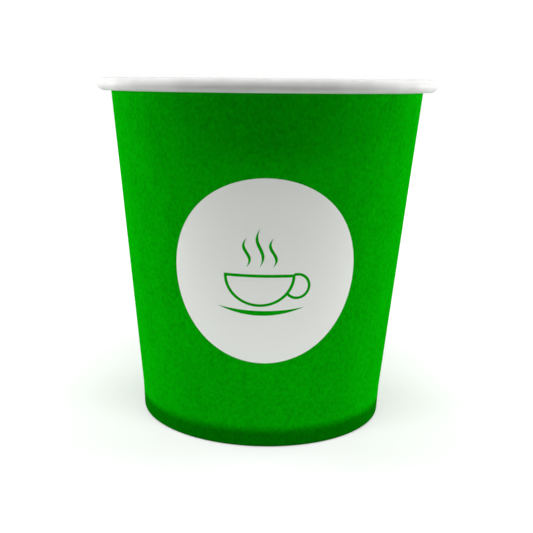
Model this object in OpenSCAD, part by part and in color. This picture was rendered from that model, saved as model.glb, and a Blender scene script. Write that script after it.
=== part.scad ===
// Disposable cup for a small hot drink, in two pieces of coated board.
// The side wall is a fan shaped blank wrapped into a cone and glued where its ends lap down the back.
// Its top edge is rolled outwards into the rim. Its bottom edge is folded inwards and up as a hem,
// which is knurled against the skirt of the base disc and spreads the foot a little into a heel.
// The origin is the centre of the foot, on the table, with +Z up, and the side seam is at +Y.

/* [Cup] */
// Height from the table to the top of the rolled rim
cup_h = 63; // [50:0.5:80]
// Diameter over the rolled rim
rim_d = 62; // [58:0.5:70]
// Outside diameter of the wall at the base disc, where the cone begins
heel_d = 46.4; // [42:0.2:52]
// Outside diameter of the wall at the table
foot_d = 45.9; // [41:0.1:52]

/* [Side wall] */
// Thickness of the side wall's board
wall_t = 0.35; // [0.25:0.01:0.5]
// Width of the glued lap of the side seam
seam_w = 6; // [4:0.5:9]
// Width over which the outer layer comes down beside the lap
seam_ramp = 1.5; // [0.8:0.1:3]

/* [Rolled rim] */
// Width of the roll across its section
roll_d = 2.7; // [2.4:0.1:3.6]
// Height of the roll, which is rolled a little flat
roll_h = 2.4; // [2.2:0.1:3.6]
// Angle that the board turns through in the roll
roll_turn = 405; // [330:15:450]
// Gap between one turn of the roll and the next
roll_gap = 0.05; // [0.03:0.01:0.1]

/* [Foot] */
// Height of the base disc's underside above the table
base_lift = 5; // [4.5:0.25:9]
// Radius of the folded edge's two corners
fold_r = 0.3; // [0.15:0.05:0.4]
// Drop from the end of the base disc's bend to the hem's edge
hem_drop = 0.4; // [0.2:0.1:1.5]

/* [Knurl] */
// Grooves pressed into the hem by the knurling wheel
knurl_n = 72; // [36:4:96]
// Width of one groove round the hem
knurl_w = 0.8; // [0.4:0.05:1]
// Depth of one groove
knurl_depth = 0.1; // [0.05:0.01:0.15]
// Plain band of the hem above and below the grooves
knurl_margin = 0.6; // [0.3:0.1:1.2]

/* [Base disc] */
// Thickness of the base disc's board
base_t = 0.35; // [0.25:0.01:0.5]
// Outside radius of the bend between the base disc and its skirt
bend_r = 0.9; // [0.6:0.05:1.2]
// Space under the skirt's cut edge, inside the fold
skirt_drop = 0.6; // [0.2:0.1:1]
// Film of coating between two layers that are sealed together
seal_gap = 0.05; // [0.02:0.01:0.08]

/* [Hidden] */
$fn = 96;

// Steps of the roll in its section, in degrees
arc_step = 15;

// Centre of the roll's section, as [radius, height]
roll_r = roll_d / 2;
roll_c = [rim_d / 2 - roll_r, cup_h - roll_h / 2];
// What the roll's section lacks in height, above and below its centre
roll_flat = (roll_d - roll_h) / 2;

// Lean of the heel, up to the base disc
heel_lean = atan2((heel_d - foot_d) / 2, base_lift);
// Lean of the cone above it, whose inner face runs tangent into the top of the roll
reach = roll_c - [heel_d / 2, base_lift];
lean = atan2(reach.x, reach.y) - asin((roll_r - wall_t) / norm(reach));

// Depths of the layers at the foot, square to the board from the wall's outer face
skirt_in = wall_t + seal_gap;
hem_in = skirt_in + base_t + seal_gap;
foot_in = hem_in + wall_t;

// Angles of the roll, from where it leaves the wall, over the top and round to the board's edge
roll_start = 180 - lean;
roll_end = 180 - roll_turn;
roll_angles = concat(
    [for (i = [0:5]) roll_start + (90 - roll_start) * i / 6],
    [for (a = [90:-arc_step:roll_end]) a]
);
// Turned angles between which the roll closes in to pass inside its own first turn
close_from = 200;
close_to = 340;

// Height of the hem's edge, below the base disc's bend
hem_top = base_lift - (bend_r - base_t) - hem_drop;
// Height of the skirt's cut edge, inside the fold
skirt_low = wall_t + skirt_drop;
// Centre of the bend between the base disc and its skirt
bend_c = face(base_lift + base_t - bend_r, skirt_in + bend_r);

// Point of the heel at a height, on the face that lies a depth inside the wall's outer face
function face_r(z, depth) = foot_d / 2 + z * tan(heel_lean) - depth / cos(heel_lean);
function face(z, depth) = [face_r(z, depth), z];
// Point of the cone at a height, on the face at a depth
function cone(z, depth) = [heel_d / 2 + (z - base_lift) * tan(lean) - depth / cos(lean), z];
function round_points(centre, r, angles) = [for (a = angles) centre + r * [cos(a), sin(a)]];

// How far a circle of radius r falls away from its tangent at x
function sag(x, r) = r - sqrt(r * r - x * x);

// Share of the way that the roll has closed in, and its outer radius, at an angle
function closing(a) = min(1, max(0, (roll_start - a - close_from) / (close_to - close_from)));
function roll_radius(a) = roll_r - (wall_t + roll_gap) * closing(a);
// Point of the roll at an angle, on the face at a depth below its outer one
function roll_point(a, depth) =
    let (r = roll_radius(a) - depth) roll_c + [r * cos(a), (r - roll_flat) * sin(a)];

// Corners of the folded edge, where a face at a depth comes down to the table
function outer_corner(depth) = round_points(
    face(fold_r, depth + fold_r), fold_r,
    [for (i = [0:4]) -heel_lean - (90 - heel_lean) * i / 4]);
function inner_corner(depth) = round_points(
    face(fold_r, depth - fold_r), fold_r,
    [for (i = [0:4]) -90 - (90 + heel_lean) * i / 4]);

// Section of the wall: up its inner face, round the roll and back, and down its outer face
wall_section = concat(
    [face(wall_t, hem_in), face(wall_t, wall_t), face(base_lift, wall_t)],
    [for (a = roll_angles) roll_point(a, 0)],
    [for (i = [len(roll_angles) - 1:-1:0]) roll_point(roll_angles[i], wall_t)],
    [face(base_lift, 0)],
    outer_corner(0),
    inner_corner(foot_in),
    [face(hem_top, foot_in), face(hem_top, hem_in)]
);

// Sections of the outer layer of the lap, on the wall and on the hem. Each sinks half way into the
// board below it, and covers the rounded corner of the folded edge
lap_top = roll_c.y;
sunk = wall_t / 2;
lap_section = concat(
    [face(0, fold_r), face(sunk, sunk), face(base_lift, sunk), cone(lap_top, sunk)],
    [cone(lap_top, -wall_t), face(base_lift, -wall_t)],
    outer_corner(-wall_t)
);
lap_hem_section = concat(
    [face(hem_top, foot_in - sunk), face(sunk, foot_in - sunk), face(0, foot_in - fold_r)],
    inner_corner(foot_in + wall_t),
    [face(hem_top, foot_in + wall_t)]
);
// Plan of the lap, square to the cone: a cut edge on one side and a ramp on the other
mid_r = (heel_d + rim_d) / 4;
lap_edge = seam_w / 2;
ramp_edge = lap_edge + seam_ramp;
lap_plan = [
    [-ramp_edge, -sag(ramp_edge, mid_r)],
    [-lap_edge, wall_t - sag(lap_edge, mid_r)],
    [0, 2 * wall_t],
    [lap_edge, 2 * wall_t],
    [lap_edge, -foot_in - 4 * wall_t],
    [0, -foot_in - 4 * wall_t],
    [-lap_edge, -foot_in - wall_t - sag(lap_edge, foot_d / 2)],
    [-ramp_edge, -foot_in - sag(ramp_edge, foot_d / 2)]
];

// The grooves stop short of the lap, where the hem has two layers
knurl_clear = asin(ramp_edge / face_r(0, foot_in)) + 180 / knurl_n;
knurl_angle = knurl_w / foot_d * 360 / PI;
knurl_section = [
    face(knurl_margin, foot_in - knurl_depth),
    face(knurl_margin, foot_in + knurl_depth),
    face(hem_top - knurl_margin, foot_in + knurl_depth),
    face(hem_top - knurl_margin, foot_in - knurl_depth)
];

// Section of the base disc with the skirt that is turned down round it
disc_section = concat(
    [[0, base_lift], [0, base_lift + base_t]],
    round_points(bend_c, bend_r, [for (i = [0:6]) 90 - (90 + heel_lean) * i / 6]),
    [face(skirt_low, skirt_in), face(skirt_low, skirt_in + base_t)],
    round_points(bend_c, bend_r - base_t, [for (i = [6:-1:0]) 90 - (90 + heel_lean) * i / 6])
);

module lap(section) {
    intersection() {
        rotate_extrude() polygon(section);
        translate([0, heel_d / 2, base_lift]) rotate([-lean, 0, 0])
            translate([0, 0, -2 * base_lift]) linear_extrude(cup_h * 1.5) polygon(lap_plan);
    }
}

module knurl_groove() {
    rotate([0, 0, -knurl_angle / 2]) rotate_extrude(angle = knurl_angle) polygon(knurl_section);
}

module side_wall() color([0.03, 0.62, 0.03]) {
    difference() {
        rotate_extrude() polygon(wall_section);
        for (turn = [90 + knurl_clear:360 / knurl_n:450 - knurl_clear])
            rotate([0, 0, turn]) knurl_groove();
    }
    lap(lap_section);
    lap(lap_hem_section);
}

module base_disc() color([0.93, 0.93, 0.91]) {
    rotate_extrude() polygon(disc_section);
}

side_wall();
base_disc();
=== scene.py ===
import math

import bmesh
import bpy
from mathutils import Matrix, Vector


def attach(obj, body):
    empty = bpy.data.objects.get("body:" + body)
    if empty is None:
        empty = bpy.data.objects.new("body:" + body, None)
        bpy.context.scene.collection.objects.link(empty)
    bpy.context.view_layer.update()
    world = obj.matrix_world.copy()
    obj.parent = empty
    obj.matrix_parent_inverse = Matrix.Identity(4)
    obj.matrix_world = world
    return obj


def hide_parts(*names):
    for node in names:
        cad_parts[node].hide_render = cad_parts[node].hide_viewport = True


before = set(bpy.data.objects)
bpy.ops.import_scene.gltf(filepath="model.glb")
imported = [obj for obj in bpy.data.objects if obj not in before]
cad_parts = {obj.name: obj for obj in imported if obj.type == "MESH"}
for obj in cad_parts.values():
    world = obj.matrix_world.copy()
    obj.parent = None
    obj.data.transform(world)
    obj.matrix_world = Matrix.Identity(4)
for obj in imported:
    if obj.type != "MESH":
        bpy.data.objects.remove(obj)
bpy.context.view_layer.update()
mm = 0.001  # the sizes below are in millimetres, and Blender's are in metres


# Selecting and drawing in edit mode

def deselect():
    for thing in bpy.context.selected_objects:
        thing.select_set(False)


def startPiece(name, place):
    # one vertex at a place, merged from a small plane
    deselect()
    bpy.ops.mesh.primitive_plane_add(size=mm, location=(0, 0, 0))
    piece = bpy.context.object
    piece.name = name
    piece.data.name = name
    bpy.ops.object.mode_set(mode="EDIT")
    bpy.context.tool_settings.mesh_select_mode = (True, False, False)
    bpy.ops.mesh.merge(type="CENTER")
    bpy.ops.transform.translate(value=Vector(place) * mm)
    return piece


def choose(piece, wanted):
    # selects the vertices in view whose point, in millimetres, is wanted, and returns how many
    mesh = bmesh.from_edit_mesh(piece.data)
    count = 0
    for corner in mesh.verts:
        corner.select = not corner.hide and wanted(corner.co / mm)
        count += corner.select
    mesh.select_mode = {"VERT"}
    mesh.select_flush_mode()
    bmesh.update_edit_mesh(piece.data)
    return count


def chooseAmong(piece, wanted):
    # keeps only the wanted ones of the vertices that are selected
    mesh = bmesh.from_edit_mesh(piece.data)
    for corner in mesh.verts:
        corner.select = corner.select and wanted(corner.co / mm)
    mesh.select_mode = {"VERT"}
    mesh.select_flush_mode()
    bmesh.update_edit_mesh(piece.data)


def drawLine(points):
    # extrudes the selected vertex from point to point
    for start, end in zip(points, points[1:]):
        step = (Vector(end) - Vector(start)) * mm
        bpy.ops.mesh.extrude_vertices_move(TRANSFORM_OT_translate={"value": step})


def spinOn(steps, angle):
    # spins the selected line about the cup's axis, turning left seen from above
    bpy.ops.mesh.spin(steps=steps, angle=math.radians(-angle), center=(0, 0, 0), axis=(0, 0, 1),
                      use_auto_merge=False)


def reach(point):
    return math.hypot(point.x, point.y)


def turn(point):
    return math.degrees(math.atan2(point.y, point.x)) % 360


def onArc(centre, radius, angles):
    return [(centre[0] + radius * math.cos(math.radians(a)), centre[1] + radius * math.sin(math.radians(a)))
            for a in angles]


def evenly(start, end, steps):
    return [start + (end - start) * i / steps for i in range(steps + 1)]


# Side wall: a coated blank, drawn as the line of its printed face and turned into the cup

wall = {
    "height": 63.0,        # over the rolled rim
    "rimWidth": 62.0,      # across the rolled rim
    "heelWidth": 46.4,     # across the cone where it begins, at the base disc
    "heelHeight": 5.0,
    "footWidth": 45.9,     # across the heel at the table
    "board": 0.35,
    "rollWidth": 2.7,      # across the roll's own section
    "rollHeight": 2.4,
    "rollTurn": 405.0,     # degrees
    "rollGap": 0.05,
    "closeFrom": 200,      # degrees between which the roll closes in
    "closeTo": 340,
    "hemDepth": 1.15,      # from the wall's outer face to the hem's inner face
    "hemHeight": 4.05,
    "middle": 30.0,        # height at which the lap's widths are measured
    "lapWidth": 6.0,
    "lapRamp": 1.9,        # over which the outer layer comes down to the wall
    "glue": 0.02,          # between the two layers of the lap
    "columns": 356,
    "grooves": 72,         # pressed into the hem by the knurling wheel
    "grooveDepth": 0.1,
    "grooveFrom": 1.5,     # degrees
    "grooveWidth": 2.2,    # degrees
    "grooveBand": (0.8, 3.3),
    "plainBand": 13,       # degrees to each side of the seam's middle, without grooves
}


def wallRadius(z):
    # outer face of the wall, the heel and the cone above it
    foot, heel = wall["footWidth"] / 2, wall["heelWidth"] / 2
    if z <= wall["heelHeight"]:
        return foot + (heel - foot) * z / wall["heelHeight"]
    return heel + (z - wall["heelHeight"]) * math.tan(lean)


rollRadius = wall["rollWidth"] / 2
rollCentre = (wall["rimWidth"] / 2 - rollRadius, wall["height"] - wall["rollHeight"] / 2)
rise = (rollCentre[0] - wall["heelWidth"] / 2, rollCentre[1] - wall["heelHeight"])
lean = math.atan2(rise[0], rise[1]) - math.asin((rollRadius - wall["board"]) / math.hypot(*rise))


def rollPoint(angle):
    # the printed face in the roll, which is a little flat and closes in to pass inside its own first turn
    turned = 180 - math.degrees(lean) - angle
    closed = (turned - wall["closeFrom"]) / (wall["closeTo"] - wall["closeFrom"])
    closed = min(1, max(0, closed))
    out = rollRadius - wall["board"] - (wall["board"] + wall["rollGap"]) * closed
    high = out - (wall["rollWidth"] - wall["rollHeight"]) / 2
    return (rollCentre[0] + out * math.cos(math.radians(angle)),
            rollCentre[1] + high * math.sin(math.radians(angle)))


def wallLine():
    # printed face from its end in the roll, down the cone and heel, round the fold and up the hem
    leaves = 180 - math.degrees(lean)
    rollAngles = evenly(180 - wall["rollTurn"], 90, 27)[:-1] + evenly(90, leaves, 6)
    roll = [rollPoint(angle) for angle in rollAngles]
    heights = [61.4, 61.0, 60.6, 60.0, 59.2] + evenly(57.5, 7.5, 20)
    heights += [6.2, 5.5, 5.0, 4.4, 3.4, 2.4, 1.4, 0.9]
    sides = [(wallRadius(z), z) for z in heights]
    foldRadius = wall["hemDepth"] / 2
    foldCentre = (wallRadius(foldRadius) - foldRadius, foldRadius)
    fold = onArc(foldCentre, foldRadius, evenly(0, -180, 12))
    hemFoot = wallRadius(0) - wall["hemDepth"]
    hem = [(hemFoot + z * 0.05, z) for z in (0.7, 0.85, 2.1, 3.25, 3.4, wall["hemHeight"])]
    return roll + sides + fold + hem


# Building blocks of the materials

def newMaterial(name):
    material = bpy.data.materials.new(name)
    material.use_nodes = True
    return material, material.node_tree, material.node_tree.nodes["Principled BSDF"]


def feed(tree, socket, value):
    if isinstance(value, bpy.types.NodeSocket):
        tree.links.new(value, socket)
    else:
        socket.default_value = value


def calc(tree, operation, *values):
    node = tree.nodes.new("ShaderNodeMath")
    node.operation = operation
    for socket, value in zip(node.inputs, values):
        feed(tree, socket, value)
    return node.outputs[0]


def offset(tree, value, place):
    # how far a value is from a place, whichever way
    return calc(tree, "ABSOLUTE", calc(tree, "SUBTRACT", value, place))


def hypotenuse(tree, first, second):
    squares = calc(tree, "ADD", calc(tree, "MULTIPLY", first, first), calc(tree, "MULTIPLY", second, second))
    return calc(tree, "SQRT", squares)


def ramp(tree, value, start, end, low=0.0, high=1.0):
    # a smooth step from low at start to high at end
    node = tree.nodes.new("ShaderNodeMapRange")
    node.interpolation_type = "SMOOTHSTEP"
    for socket, setting in zip(node.inputs, (value, start, end, low, high)):
        feed(tree, socket, setting)
    return node.outputs[0]


def mixColour(tree, share, first, second):
    node = tree.nodes.new("ShaderNodeMix")
    node.data_type = "RGBA"
    feed(tree, node.inputs[0], share)
    feed(tree, node.inputs[6], first)
    feed(tree, node.inputs[7], second)
    return node.outputs[2]


def faintTone(tree, pattern, colour, darker):
    # a colour that goes faintly darker with a pattern
    return mixColour(tree, ramp(tree, pattern, 0.3, 0.7), colour, [c * darker for c in colour[:3]] + [1])


def setFinish(shader, roughness, specular):
    shader.inputs["Roughness"].default_value = roughness
    shader.inputs["Specular IOR Level"].default_value = specular


def onPiece(tree):
    # x, y and z on the piece, in millimetres
    place = tree.nodes.new("ShaderNodeTexCoord")
    split = tree.nodes.new("ShaderNodeSeparateXYZ")
    tree.links.new(place.outputs["Object"], split.inputs[0])
    return [calc(tree, "MULTIPLY", split.outputs[i], 1000) for i in range(3)]


def grain(tree, scale, stretch=(1, 1, 1), detail=2.0, rough=0.5):
    # noise on the piece's own coordinates, in millimetres
    place = tree.nodes.new("ShaderNodeTexCoord")
    mapping = tree.nodes.new("ShaderNodeMapping")
    mapping.inputs["Scale"].default_value = [1000 * s for s in stretch]
    tree.links.new(place.outputs["Object"], mapping.inputs["Vector"])
    noise = tree.nodes.new("ShaderNodeTexNoise")
    noise.inputs["Scale"].default_value = scale
    noise.inputs["Detail"].default_value = detail
    noise.inputs["Roughness"].default_value = rough
    tree.links.new(mapping.outputs["Vector"], noise.inputs["Vector"])
    return noise.outputs["Fac"]


def bump(tree, height, depth, normal=None):
    node = tree.nodes.new("ShaderNodeBump")
    node.inputs["Strength"].default_value = 1.0
    node.inputs["Distance"].default_value = depth * mm
    tree.links.new(height, node.inputs["Height"])
    if normal:
        tree.links.new(normal, node.inputs["Normal"])
    return node.outputs["Normal"]


# Materials of the wall

ink = {
    "green": (0.0008, 0.35, 0.0008, 1),
    "field": (0.90, 0.92, 0.88, 1),
    "fieldRadius": 15.9,
    "fieldHeight": 31.65,
    "fieldTurn": 0.93,      # degrees to the right of the front
    "printTop": 60.7,
    "heelShadeTop": (2.3, 4.4),  # painted shade: the heel's ink is darker up to here, standing in for shade at the foot
    "heelShadeTone": 0.43,
    "bareEdge": 0.12,
    "mottle": 0.21,
}
board = {
    "coated": (0.73, 0.73, 0.72, 1),
    "plain": (0.76, 0.75, 0.72, 1),
    "cut": (0.82, 0.80, 0.75, 1),
    "rimUneven": 1.3,
}


def within(tree, value, half, soft=0.05):
    # 1 where a distance is under half, in millimetres, with a soft edge
    return ramp(tree, value, half + soft, half - soft)


def both(tree, *masks):
    result = masks[0]
    for mask in masks[1:]:
        result = calc(tree, "MULTIPLY", result, mask)
    return result


def either(tree, *masks):
    result = masks[0]
    for mask in masks[1:]:
        result = calc(tree, "MAXIMUM", result, mask)
    return result


def distance(tree, across, up, centre, squash=1.0):
    # from a point of the blank, with heights divided by squash
    dx = calc(tree, "SUBTRACT", across, centre[0])
    dy = calc(tree, "DIVIDE", calc(tree, "SUBTRACT", up, centre[1]), squash)
    return hypotenuse(tree, dx, dy)


motif = {
    "bowl": {"centre": (-0.9, -0.4), "radius": 5.7, "depth": 0.9, "line": 0.26},
    "handle": {"centre": (5.4, -2.2), "radius": 2.05, "line": 0.24},
    "saucer": {"centre": (-0.6, -6.9), "half": 7.3, "sag": 0.018, "line": 0.42},
    "steam": {"places": (-3.1, -0.9, 1.3), "foot": 1.0, "heights": (5.1, 6.7, 5.1),
              "sway": 0.52, "line": 0.31},
}


def steamingCup(tree, across, up):
    # a line drawing of a cup on its saucer, with three wisps of steam
    bowl, handle, saucer, steam = (motif[part] for part in ("bowl", "handle", "saucer", "steam"))
    fromBowl = distance(tree, across, up, bowl["centre"], bowl["depth"])
    belowRim = ramp(tree, up, bowl["centre"][1] + 0.05, bowl["centre"][1] - 0.05)
    side = both(tree, within(tree, offset(tree, fromBowl, bowl["radius"]), bowl["line"]), belowRim)
    offRim = offset(tree, up, bowl["centre"][1])
    alongRim = offset(tree, across, bowl["centre"][0])
    rimHalf = bowl["radius"] + bowl["line"]
    rim = both(tree, within(tree, offRim, bowl["line"]), within(tree, alongRim, rimHalf))
    fromHandle = distance(tree, across, up, handle["centre"])
    offHandle = offset(tree, fromHandle, handle["radius"])
    outside = ramp(tree, fromBowl, bowl["radius"] - 0.05, bowl["radius"] + 0.05)
    ring = both(tree, within(tree, offHandle, handle["line"]), outside)
    # the saucer is one stroke, thick in the middle and drawn out to its ends
    along = calc(tree, "SUBTRACT", across, saucer["centre"][0])
    share = calc(tree, "DIVIDE", along, saucer["half"])
    taper = calc(tree, "MAXIMUM", calc(tree, "SUBTRACT", 1, calc(tree, "MULTIPLY", share, share)), 0)
    curve = calc(tree, "MULTIPLY", calc(tree, "MULTIPLY", along, along), saucer["sag"])
    offSaucer = offset(tree, calc(tree, "SUBTRACT", up, saucer["centre"][1]), curve)
    reachSaucer = calc(tree, "MULTIPLY", taper, saucer["line"])
    dish = both(tree, ramp(tree, calc(tree, "SUBTRACT", offSaucer, reachSaucer), 0.05, -0.05),
                within(tree, calc(tree, "ABSOLUTE", along), saucer["half"]))
    wisps = []
    for place, height in zip(steam["places"], steam["heights"]):
        grown = calc(tree, "DIVIDE", calc(tree, "SUBTRACT", up, steam["foot"]), height)
        swing = calc(tree, "SINE", calc(tree, "MULTIPLY", grown, 2 * math.pi))
        sway = calc(tree, "MULTIPLY", swing, steam["sway"])
        off = offset(tree, calc(tree, "SUBTRACT", across, place), sway)
        held = calc(tree, "MINIMUM", calc(tree, "MAXIMUM", grown, 0), 1)
        swell = calc(tree, "SINE", calc(tree, "MULTIPLY", held, math.pi))
        thick = calc(tree, "MULTIPLY", swell, steam["line"])
        inside = both(tree, ramp(tree, grown, 0, 0.03), ramp(tree, grown, 1, 0.97))
        wisps.append(both(tree, ramp(tree, calc(tree, "SUBTRACT", off, thick), 0.05, -0.05), inside))
    return either(tree, side, rim, ring, dish, *wisps)


def printedBoard():
    material, tree, shader = newMaterial("printedBoard")
    x, y, z = onPiece(tree)
    # the blank's own flat coordinates, in millimetres from the centre of the round field
    fromFront = calc(tree, "ARCTAN2", x, calc(tree, "MULTIPLY", y, -1))
    around = calc(tree, "SUBTRACT", fromFront, math.radians(ink["fieldTurn"]))
    out = hypotenuse(tree, x, y)
    slant = calc(tree, "DIVIDE", out, math.sin(lean))
    opened = calc(tree, "MULTIPLY", around, math.sin(lean))
    across = calc(tree, "MULTIPLY", slant, calc(tree, "SINE", opened))
    up = calc(tree, "SUBTRACT", calc(tree, "MULTIPLY", slant, calc(tree, "COSINE", opened)),
              wallRadius(ink["fieldHeight"]) / math.sin(lean))
    away = hypotenuse(tree, across, up)
    inField = ramp(tree, away, ink["fieldRadius"] + 0.04, ink["fieldRadius"] - 0.04)
    spots = grain(tree, 2.0, (1, 1, 0.75), 4, 0.65)
    cloud = grain(tree, 0.25, (1, 1, 0.5), 2, 0.5)
    strength = calc(tree, "ADD", ramp(tree, spots, 0.25, 0.75, 1 - ink["mottle"], 1 + ink["mottle"]),
                    ramp(tree, cloud, 0.3, 0.7, -0.04, 0.04))
    # painted shade: the green on the heel's outer face is darkened towards the table, in place of shade at
    # the foot
    low = ramp(tree, z, ink["heelShadeTop"][0], ink["heelShadeTop"][1], 1, 0)
    outside = ramp(tree, out, wallRadius(0) - 0.8, wallRadius(0) - 0.4)
    darker = calc(tree, "MULTIPLY", calc(tree, "MULTIPLY", low, outside), 1 - ink["heelShadeTone"])
    strength = calc(tree, "MULTIPLY", strength, calc(tree, "SUBTRACT", 1, darker))
    solid = tree.nodes.new("ShaderNodeVectorMath")
    solid.operation = "SCALE"
    solid.inputs[0].default_value = ink["green"][:3]
    feed(tree, solid.inputs["Scale"], strength)
    plain = mixColour(tree, steamingCup(tree, across, up), ink["field"], solid.outputs[0])
    colour = mixColour(tree, inField, solid.outputs[0], plain)
    bare = ramp(tree, z, ink["printTop"] - 0.03, ink["printTop"] + 0.03)
    colour = mixColour(tree, bare, colour, board["coated"])
    # a hair of bare board along the cut edge of the outer layer
    edgeTurn = math.pi - wall["lapWidth"] / 2 / wallRadius(wall["middle"])
    offEdge = calc(tree, "MULTIPLY", offset(tree, fromFront, edgeTurn), out)
    colour = mixColour(tree, within(tree, offEdge, ink["bareEdge"], 0.04), colour, board["cut"])
    tree.links.new(colour, shader.inputs["Base Color"])
    setFinish(shader, 0.8, 0.0)
    fine = grain(tree, 3.2, (1, 1, 0.7), 3, 0.6)
    tree.links.new(bump(tree, fine, 0.012), shader.inputs["Normal"])
    return material


def coatedBoard():
    material, tree, shader = newMaterial("coatedBoard")
    soft = grain(tree, 0.4, (1, 1, 1), 2, 0.5)
    tree.links.new(faintTone(tree, soft, board["coated"], 0.96), shader.inputs["Base Color"])
    setFinish(shader, 0.5, 0.06)
    fine = grain(tree, 1.6, (1, 1, 1), 3, 0.55)
    # the rolled rim is never quite even
    rollFoot = wall["height"] - wall["rollHeight"]
    atRim = ramp(tree, onPiece(tree)[2], rollFoot - 0.3, rollFoot)
    uneven = calc(tree, "MULTIPLY", grain(tree, 0.1, (1, 1, 0), 1, 0.4), atRim)
    fineNormal = bump(tree, fine, 0.015)
    tree.links.new(bump(tree, uneven, board["rimUneven"], fineNormal), shader.inputs["Normal"])
    return material


def plainBoard():
    material, tree, shader = newMaterial("plainBoard")
    soft = grain(tree, 0.9, (1, 0.4, 1), 4, 0.6)
    tree.links.new(faintTone(tree, soft, board["plain"], 0.93), shader.inputs["Base Color"])
    setFinish(shader, 0.85, 0.25)
    fine = grain(tree, 3.0, (1, 0.4, 1), 4, 0.65)
    tree.links.new(bump(tree, fine, 0.03), shader.inputs["Normal"])
    return material


def cutEdge():
    material, tree, shader = newMaterial("cutEdge")
    soft = grain(tree, 6.0, (1, 1, 0.3), 3, 0.6)
    tree.links.new(faintTone(tree, soft, board["cut"], 0.85), shader.inputs["Base Color"])
    setFinish(shader, 0.9, 0.2)
    tree.links.new(bump(tree, soft, 0.03), shader.inputs["Normal"])
    return material


printedMaterial, coatedMaterial = printedBoard(), coatedBoard()
plainMaterial, cutMaterial = plainBoard(), cutEdge()
print("materials made")


# The two pieces

def thicken(piece, thickness, outer, inner):
    # gives a sheet its board, with the drawn face outside, and shades it smooth
    for material in (outer, inner, cutMaterial):
        piece.data.materials.append(material)
    sheet = piece.modifiers.new("board", "SOLIDIFY")
    sheet.thickness = thickness * mm
    sheet.offset = -1
    sheet.use_even_offset = True
    sheet.material_offset = 1
    sheet.material_offset_rim = 2
    bpy.ops.object.modifier_apply(modifier="board")
    bpy.ops.object.shade_smooth_by_angle(angle=math.radians(50))


def faceOut(piece, outward):
    # turns the whole sheet over if its drawn face looks the wrong way
    bpy.ops.mesh.select_all(action="SELECT")
    bpy.ops.mesh.normals_make_consistent(inside=False)
    mesh = bmesh.from_edit_mesh(piece.data)
    if sum(outward(face.normal, face.calc_center_median() / mm) for face in mesh.faces) < 0:
        bpy.ops.mesh.flip_normals()


def wallOutward(normal, centre):
    # the cone's front looks towards -Y
    return -normal.y if centre.y < -20 and centre.z > 10 else 0


def layLap(piece, start, edge):
    # carries the blank on past its start, up a ramp onto the outer layer, to the cut edge
    rampTurn = math.degrees(wall["lapRamp"] / wallRadius(wall["middle"]))
    rampSteps = 4
    tuck = 61.05  # the outer layer's top edge is just under the roll
    outward = wall["board"] + wall["glue"]
    choose(piece, lambda p: abs(turn(p) - start) < 0.05)
    bpy.ops.mesh.hide(unselected=True)
    spinOn(rampSteps, -rampTurn)
    chooseAmong(piece, lambda p: p.z < tuck and reach(p) < wallRadius(p.z) + 0.1)
    spinOn(14, -(start - rampTurn - edge))
    for step in range(1, rampSteps + 1):
        last = step == rampSteps
        place = start - rampTurn * step / rampSteps
        choose(piece, lambda p: p.z < tuck and reach(p) < wallRadius(p.z) + 0.1
               and (turn(p) < place + 0.05 if last else abs(turn(p) - place) < 0.05))
        bpy.ops.transform.shrink_fatten(value=outward * mm * step / rampSteps)
    choose(piece, lambda p: p.z < 0)
    bpy.ops.transform.resize(value=(1, 1, 0), center_override=(0, 0, 0))
    bpy.ops.mesh.reveal(select=False)


def pressGrooves(piece):
    # the knurling wheel's grooves press the hem out against the skirt, and stop short of the lap
    pitch = 360 / wall["grooves"]

    def inGroove(p):
        low, high = wall["grooveBand"]
        onHem = low < p.z < high and reach(p) < wallRadius(p.z) - 0.9
        clear = abs((turn(p) - 90 + 180) % 360 - 180) > wall["plainBand"]
        return onHem and clear and (turn(p) + wall["grooveFrom"]) % pitch < wall["grooveWidth"]

    choose(piece, inGroove)
    hemRadius = wallRadius(2) - wall["hemDepth"]
    grow = 1 + wall["grooveDepth"] / hemRadius
    bpy.ops.transform.resize(value=(grow, grow, 1), center_override=(0, 0, 0))


def sideWall():
    half = math.degrees(wall["lapWidth"] / 2 / wallRadius(wall["middle"]))
    start = 90 + half + math.degrees(wall["lapRamp"] / wallRadius(wall["middle"]))
    line = wallLine()
    inPlan = (math.cos(math.radians(start)), math.sin(math.radians(start)))
    points = [(r * inPlan[0], r * inPlan[1], z) for r, z in line]
    piece = startPiece("sideWall", points[0])
    drawLine(points)
    bpy.ops.mesh.select_all(action="SELECT")
    spinOn(wall["columns"], 360 - (start - 90 - half))
    # under the outer layer the inner one keeps off the table
    lift = wall["board"] + wall["glue"]
    choose(piece, lambda p: p.z < lift and abs(turn(p) - 90) < half + 0.05)
    bpy.ops.transform.resize(value=(1, 1, 0), center_override=(0, 0, lift * mm))
    faceOut(piece, wallOutward)
    layLap(piece, start, 90 - half)
    bpy.ops.mesh.select_all(action="SELECT")
    bpy.ops.mesh.remove_doubles(threshold=0.002 * mm)
    pressGrooves(piece)
    faceOut(piece, wallOutward)
    bpy.ops.object.mode_set(mode="OBJECT")
    thicken(piece, wall["board"], printedMaterial, coatedMaterial)
    return piece


sideWallPiece = sideWall()
print("side wall made,", len(sideWallPiece.data.polygons), "faces")


# Base disc: a round of board whose edge is turned down as a skirt, held in the folded foot

disc = {
    "height": 5.35,        # its upper face
    "board": 0.35,
    "bend": 0.9,           # outer radius of the bend into the skirt
    "skirtIn": 0.40,       # from the wall's outer face to the skirt's
    "skirtFoot": 0.95,
    "corners": 240,
    "sag": 0.12,           # of its middle
}


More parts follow.
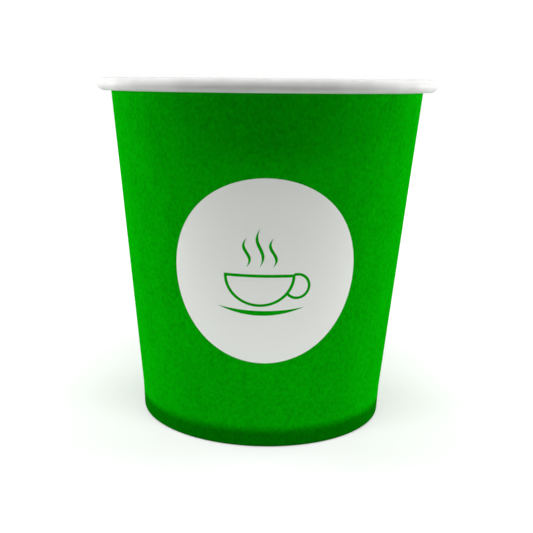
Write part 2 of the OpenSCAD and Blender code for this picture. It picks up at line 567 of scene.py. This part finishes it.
def baseDisc():
    bendRadius = wallRadius(disc["height"] - disc["bend"]) - disc["skirtIn"] - disc["bend"]
    bendHeight = disc["height"] - disc["bend"]
    deselect()
    bpy.ops.mesh.primitive_circle_add(vertices=disc["corners"], radius=bendRadius * mm,
                                      fill_type="NGON", location=(0, 0, 0))
    piece = bpy.context.object
    piece.name = "baseDisc"
    piece.data.name = "baseDisc"
    bpy.ops.object.mode_set(mode="EDIT")
    bpy.context.tool_settings.mesh_select_mode = (True, False, False)
    bpy.ops.transform.translate(value=(0, 0, disc["height"] * mm))
    # rings towards the middle, each a little lower
    rings = 9
    for ring in range(1, rings):
        bpy.ops.mesh.inset(thickness=bendRadius / rings * mm, depth=0)
        share = 1 - ring / rings
        drop = disc["sag"] * (1 - share * share) - disc["sag"] * (1 - (share + 1 / rings) ** 2)
        bpy.ops.transform.translate(value=(0, 0, -drop * mm))
    bpy.ops.mesh.poke()
    # the bend and the skirt, from the rim of the disc
    edge = [(bendRadius, disc["height"])]
    edge += onArc((bendRadius, bendHeight), disc["bend"], evenly(90, 0, 8))[1:]
    edge += [(wallRadius(z) - disc["skirtIn"], z) for z in (3.6, 2.4, 1.6, disc["skirtFoot"])]
    choose(piece, lambda p: reach(p) > bendRadius - 0.02)
    for (r, z), (nextR, nextZ) in zip(edge, edge[1:]):
        bpy.ops.mesh.extrude_edges_move(TRANSFORM_OT_translate={"value": (0, 0, (nextZ - z) * mm)})
        grow = nextR / r
        bpy.ops.transform.resize(value=(grow, grow, 1), center_override=(0, 0, 0))
    bpy.ops.mesh.select_all(action="SELECT")
    bpy.ops.mesh.remove_doubles(threshold=0.002 * mm)
    faceOut(piece, lambda normal, centre: normal.z if centre.z > 5.1 else 0)
    bpy.ops.object.mode_set(mode="OBJECT")
    thicken(piece, disc["board"], coatedMaterial, plainMaterial)
    return piece


baseDiscPiece = baseDisc()
print("base disc made,", len(baseDiscPiece.data.polygons), "faces")


dressed = (
    (sideWallPiece, "side_wall", "printed_board"),
    (baseDiscPiece, "base_disc", "plain_board"),
)
for piece, node, slot in dressed:
    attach(piece, "root")
    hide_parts(node)


# Floor, light and camera, with places and sizes in metres up to the view

studio = {
    "fill": 0.03,          # strength of the world that lights the cup
    "floorGlow": 0.5,      # near the cup, where its shadow shows
    "glowFrom": 0.1,       # from here outwards the floor goes over to plain white
    "glowTo": 0.4,
    "floorWidth": 6,
}
lamps = {
    "leftLight": {"place": (-0.85, 0.31, 0.11), "aim": (0, 0, 0.03), "size": (0.7, 0.2), "power": 9.8},
    "rightLight": {"place": (0.85, 0.31, 0.11), "aim": (0, 0, 0.03), "size": (0.7, 0.2), "power": 9.8},
    "frontLight": {"place": (0, -0.18, 0.575), "aim": (0, -0.027, 0.045), "size": (0.3, 0.06),
                   "power": 2.25},
    "backLight": {"place": (0, 0.15, 0.6), "aim": (0, 0, 0.05), "size": (0.3, 0.2), "power": 1.3},
    "midLight": {"place": (0, -0.4, 0.5), "aim": (0, 0, 0.04), "size": (0.4, 0.1), "power": 0.22},
    "lowCard": {"place": (0, -0.062, 0.004), "aim": (0, 0, 0.006), "size": (0.05, 0.006), "power": 0.0056},
}


def makeFloor():
    deselect()
    bpy.ops.mesh.primitive_grid_add(x_subdivisions=8, y_subdivisions=8, size=studio["floorWidth"],
                                    location=(0, 0, 0))
    floor = bpy.context.object
    floor.name = "floor"
    material, tree, shader = newMaterial("whiteSweep")
    shader.inputs["Base Color"].default_value = (0.5, 0.5, 0.5, 1)
    setFinish(shader, 0.9, 0.0)
    output = tree.nodes["Material Output"]
    rays = tree.nodes.new("ShaderNodeLightPath")
    glow = tree.nodes.new("ShaderNodeEmission")
    place = tree.nodes.new("ShaderNodeTexCoord")
    away = tree.nodes.new("ShaderNodeVectorMath")
    away.operation = "LENGTH"
    tree.links.new(place.outputs["Object"], away.inputs[0])
    far = ramp(tree, away.outputs["Value"], studio["glowFrom"], studio["glowTo"], studio["floorGlow"], 1)
    feed(tree, glow.inputs["Strength"], calc(tree, "MULTIPLY", rays.outputs["Is Camera Ray"], far))
    litFloor = tree.nodes.new("ShaderNodeAddShader")
    tree.links.new(shader.outputs[0], litFloor.inputs[0])
    tree.links.new(glow.outputs[0], litFloor.inputs[1])
    tree.links.new(litFloor.outputs[0], output.inputs["Surface"])
    floor.data.materials.append(material)


def makeWorld():
    world = bpy.data.worlds.new("studio")
    bpy.context.scene.world = world
    world.use_nodes = True
    tree = world.node_tree
    back = tree.nodes["Background"]
    rays = tree.nodes.new("ShaderNodeLightPath")
    back.inputs["Color"].default_value = (1, 1, 1, 1)
    strength = tree.nodes.new("ShaderNodeMapRange")
    tree.links.new(rays.outputs["Is Camera Ray"], strength.inputs["Value"])
    strength.inputs["To Min"].default_value = studio["fill"]
    strength.inputs["To Max"].default_value = 1.0
    tree.links.new(strength.outputs[0], back.inputs["Strength"])


def makeLights():
    for name, lampValues in lamps.items():
        data = bpy.data.lights.new(name, "AREA")
        data.shape = "RECTANGLE"
        data.size, data.size_y = lampValues["size"]
        data.energy = lampValues["power"]
        lamp = bpy.data.objects.new(name, data)
        bpy.context.scene.collection.objects.link(lamp)
        lamp.location = lampValues["place"]
        towards = Vector(lampValues["aim"]) - lamp.location
        lamp.rotation_euler = towards.to_track_quat("-Z", "Y").to_euler()
        lamp.visible_camera = False


view = {
    "distance": 163.14,    # from the cup's axis, in millimetres
    "height": 62.31,
    "pitch": -0.2115,      # radians below level
    "yaw": -0.0461,        # radians to the right
    "roll": 0.0093,
    "lens": 58.0,
    "shift": 0.08,         # the photograph is cut from the left of a wider one
}


def makeCamera():
    data = bpy.data.cameras.new("camera")
    data.lens = view["lens"]
    data.sensor_width = 36
    data.shift_x = view["shift"]
    data.clip_start = 0.01
    data.clip_end = 20
    camera = bpy.data.objects.new("camera", data)
    bpy.context.scene.collection.objects.link(camera)
    turned = (Matrix.Rotation(-view["yaw"], 4, "Z") @ Matrix.Rotation(math.pi / 2 + view["pitch"], 4, "X")
              @ Matrix.Rotation(view["roll"], 4, "Z"))
    camera.rotation_euler = turned.to_euler()
    camera.location = (0, -view["distance"] * mm, view["height"] * mm)
    bpy.context.scene.camera = camera


makeFloor()
makeWorld()
makeLights()
makeCamera()
bpy.context.scene.view_settings.view_transform = "Standard"
print("floor, lights and camera made")

bpy.context.view_layer.update()
